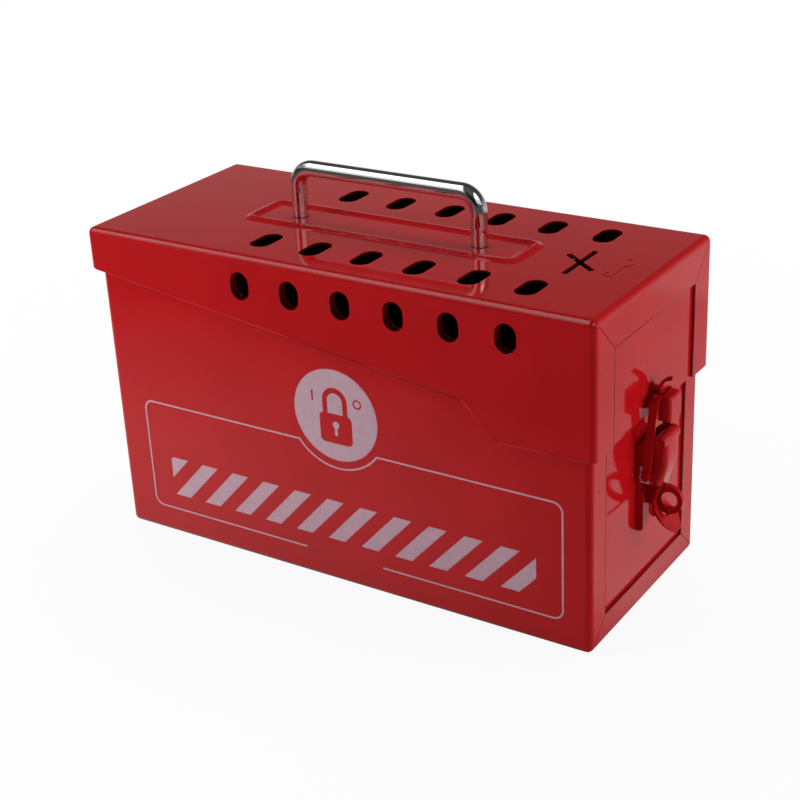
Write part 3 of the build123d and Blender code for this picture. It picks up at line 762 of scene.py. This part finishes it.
table_mirrored = add_math(
    tree, "MAXIMUM", table_rays["Is Glossy Ray"], table_rays["Is Transmission Ray"]
)
whole_table = choose(tree, table_mirrored, plain_table, table_picture.outputs["Emission"])
tree.links.new(whole_table, tree.nodes["Material Output"].inputs["Surface"])
table_top.data.materials.append(table_white)

# Room: the camera sees a white backdrop, and the box gets a faint even light from all round.
# Enamel and chrome mirror a room, pale low down and dark above behind the box, and dark low
# down and bright above in front of it. The steps run over the height of a direction, from
# level to straight up, and those of the front panels from the far left to the far right.
surround_strength = 0.07
front_gain = 2.6
behind_gain = 1.0
border = 0.05
behind_steps = (
    (0.0, 0.50), (0.10, 0.45), (0.15, 0.22), (0.28, 0.29), (0.345, 0.17), (0.42, 0.07), (1.0, 0.05),
)
front_steps = ((0.0, 0.03), (0.22, 0.03), (0.26, 0.26), (0.50, 0.36), (0.60, 0.90), (1.0, 0.90))
panel_steps = (
    (0.0, 0.35), (0.14, 0.35), (0.17, 1.0), (0.35, 1.0),
    (0.39, 0.04), (0.72, 0.04), (0.76, 1.0), (1.0, 1.0),
)

world = bpy.data.worlds.new("studio")
bpy.context.scene.world = world
world.use_nodes = True
tree = world.node_tree
surround = tree.nodes["Background"]
surround.inputs["Color"].default_value = white
surround.inputs["Strength"].default_value = surround_strength
room_way = tree.nodes.new("ShaderNodeTexCoord")
room_axes = tree.nodes.new("ShaderNodeSeparateXYZ")
tree.links.new(room_way.outputs["Generated"], room_axes.inputs["Vector"])
way_across = add_fade(tree, room_axes.outputs["X"], -1.0, 1.0)
way_back = room_axes.outputs["Y"]
way_up = room_axes.outputs["Z"]
front_panels = tree.nodes.new("ShaderNodeVectorMath")
front_panels.operation = "SCALE"
tree.links.new(add_steps(tree, way_up, front_steps), front_panels.inputs["Vector"])
tree.links.new(add_steps(tree, way_across, panel_steps), front_panels.inputs["Scale"])
room_colour = tree.nodes.new("ShaderNodeMixRGB")
tree.links.new(add_fade(tree, way_back, -border, border), room_colour.inputs["Fac"])
tree.links.new(front_panels.outputs["Vector"], room_colour.inputs["Color1"])
tree.links.new(add_steps(tree, way_up, behind_steps), room_colour.inputs["Color2"])
room = tree.nodes.new("ShaderNodeBackground")
room_gain = add_fade(tree, way_back, -border, border, front_gain, behind_gain)
tree.links.new(room_colour.outputs["Color"], room.inputs["Color"])
tree.links.new(room_gain, room.inputs["Strength"])
backdrop = tree.nodes.new("ShaderNodeBackground")
backdrop.inputs["Color"].default_value = white
room_rays = tree.nodes.new("ShaderNodeLightPath").outputs
room_mirrored = add_math(
    tree, "MAXIMUM", room_rays["Is Glossy Ray"], room_rays["Is Transmission Ray"]
)
unseen = choose(
    tree, room_mirrored, surround.outputs["Background"], room.outputs["Background"]
)
surroundings = choose(tree, room_rays["Is Camera Ray"], unseen, backdrop.outputs["Background"])
tree.links.new(surroundings, tree.nodes["World Output"].inputs["Surface"])

# Lamps: four soft area lamps that no surface mirrors. The low one on the left fades the front
# wall from left to right, and the high one stands above the camera, so that the skirt throws
# its shadow on the wall. The other two light the end and the top.


def add_lamp(name, place, target, width, height, watts):
    """An area lamp that faces a point and isn't seen in reflections."""
    lamp = bpy.data.lights.new(name, "AREA")
    lamp.shape = "RECTANGLE"
    lamp.size = width
    lamp.size_y = height
    lamp.energy = watts
    holder = bpy.data.objects.new(name, lamp)
    bpy.context.scene.collection.objects.link(holder)
    holder.location = place
    holder.visible_glossy = False
    aim = Vector(target) - Vector(place)
    holder.rotation_euler = aim.to_track_quat("-Z", "Y").to_euler()


add_lamp("soft_left", (-0.50, -0.50, 0.10), (-0.05, 0, 0.03), width=0.36, height=0.20, watts=2.5)
add_lamp("soft_high", (-0.58, -0.46, 0.66), (-0.12, 0, 0.08), width=0.26, height=0.26, watts=2.3)
add_lamp("soft_right", (1.3, 0.45, 0.4), (0.1, 0, 0.05), width=1.0, height=0.8, watts=15)
add_lamp("soft_top", (-0.25, 0.55, 1.3), (0, 0, 0.1), width=1.4, height=1.0, watts=12.5)

# Camera: it stands where the photograph was taken from, which was found by fitting the
# photograph's edges to the CAD model.
camera_place = (0.389085, -0.578876, 0.392894)
camera_turn = (65.1744, 2.5844, 32.6270)
camera_lens = 74.10
camera_sensor = 36
camera_near = 0.01
lens_data = bpy.data.cameras.new("photo_camera")
lens_data.lens = camera_lens
lens_data.sensor_width = camera_sensor
lens_data.clip_start = camera_near
photo_camera = bpy.data.objects.new("photo_camera", lens_data)
bpy.context.scene.collection.objects.link(photo_camera)
photo_camera.location = camera_place
photo_camera.rotation_euler = [math.radians(degrees) for degrees in camera_turn]
bpy.context.scene.camera = photo_camera
bpy.context.scene.view_settings.view_transform = "Standard"
